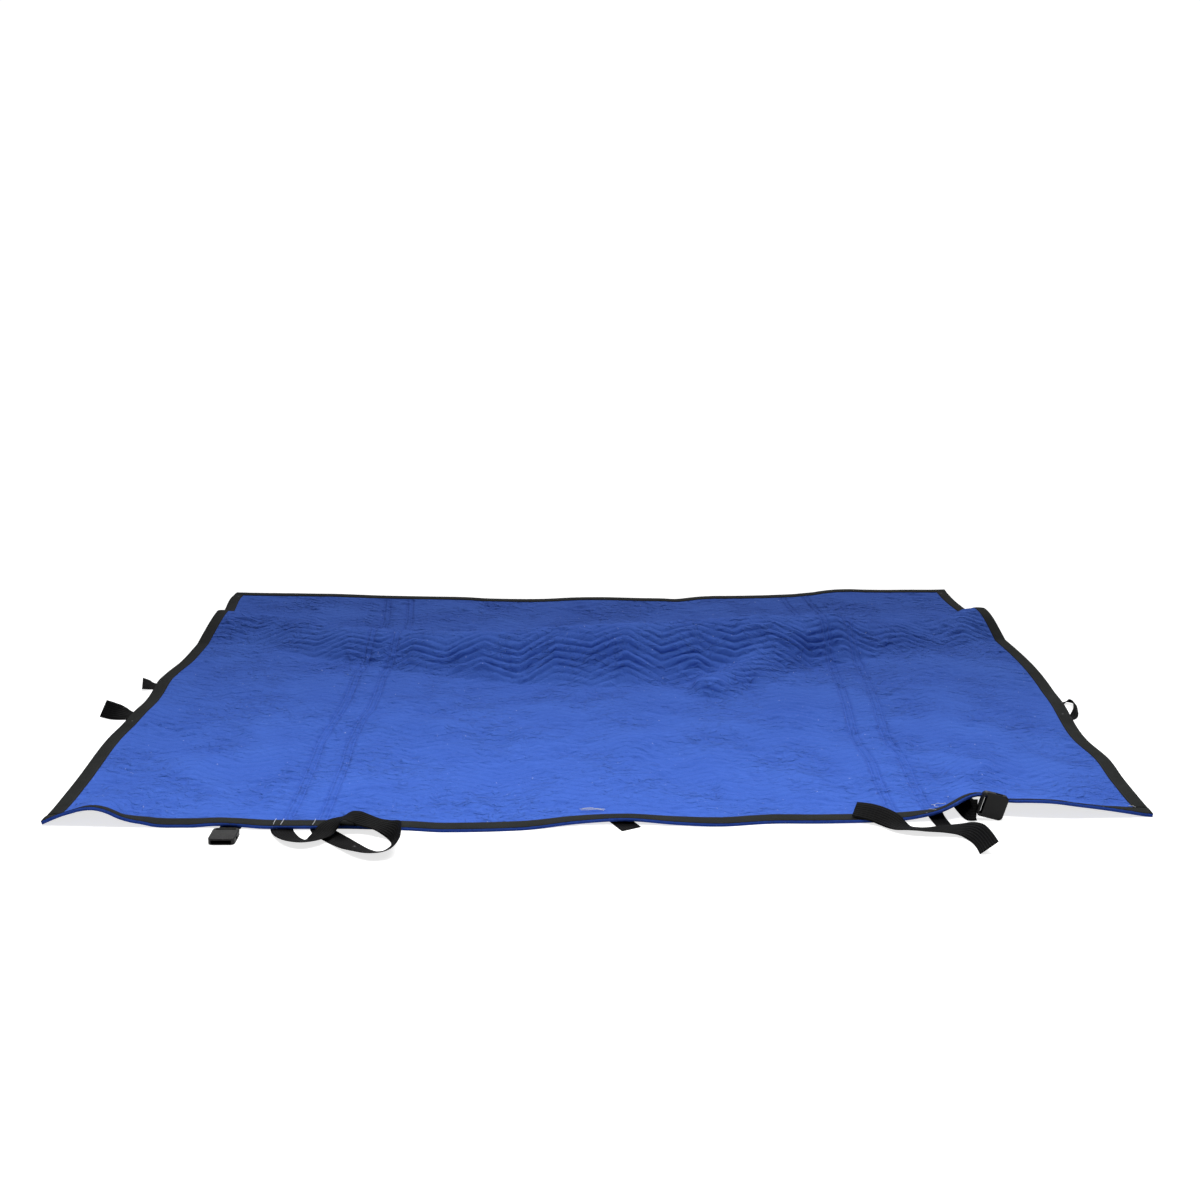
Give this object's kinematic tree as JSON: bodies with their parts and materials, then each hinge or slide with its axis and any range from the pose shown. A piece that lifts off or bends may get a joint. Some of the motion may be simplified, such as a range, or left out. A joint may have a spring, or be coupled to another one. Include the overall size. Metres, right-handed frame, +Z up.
{
  "type": "moving blanket",
  "caption": "Quilted moving blanket with zigzag stitching, taped edges, webbing straps and side-release buckle ends, spread flat with a rumpled ridge across it.",
  "frame": {"origin": "middle of the whole object's box in plan, on the floor that it lies on", "axes": "+X from the left edge to the right edge, +Y from the front edge to the back edge, +Z up from the floor"},
  "size_m": [2.5912, 2.0934, 0.1221],
  "materials": {
    "quilted_cloth": "matt woven, royal blue",
    "binding_tape": "matt woven, charcoal",
    "webbing": "woven webbing, black",
    "buckle_plastic": "satin moulded, black"
  },
  "bodies": {
    "root": {"quilted_panel": "quilted_cloth", "binding_front": "binding_tape", "binding_back": "binding_tape", "binding_left": "binding_tape", "binding_right": "binding_tape", "loop_strap": "webbing", "tab_front_centre": "webbing", "strap_front_right": "webbing", "webbing_front_right": "webbing", "webbing_buckle_right": "webbing", "webbing_front_left": "webbing", "webbing_left_lower": "webbing", "webbing_left_upper": "webbing", "loop_right": "webbing", "buckle_front_left": "buckle_plastic", "buckle_front_right": "buckle_plastic"}
  },
  "joints": []
}
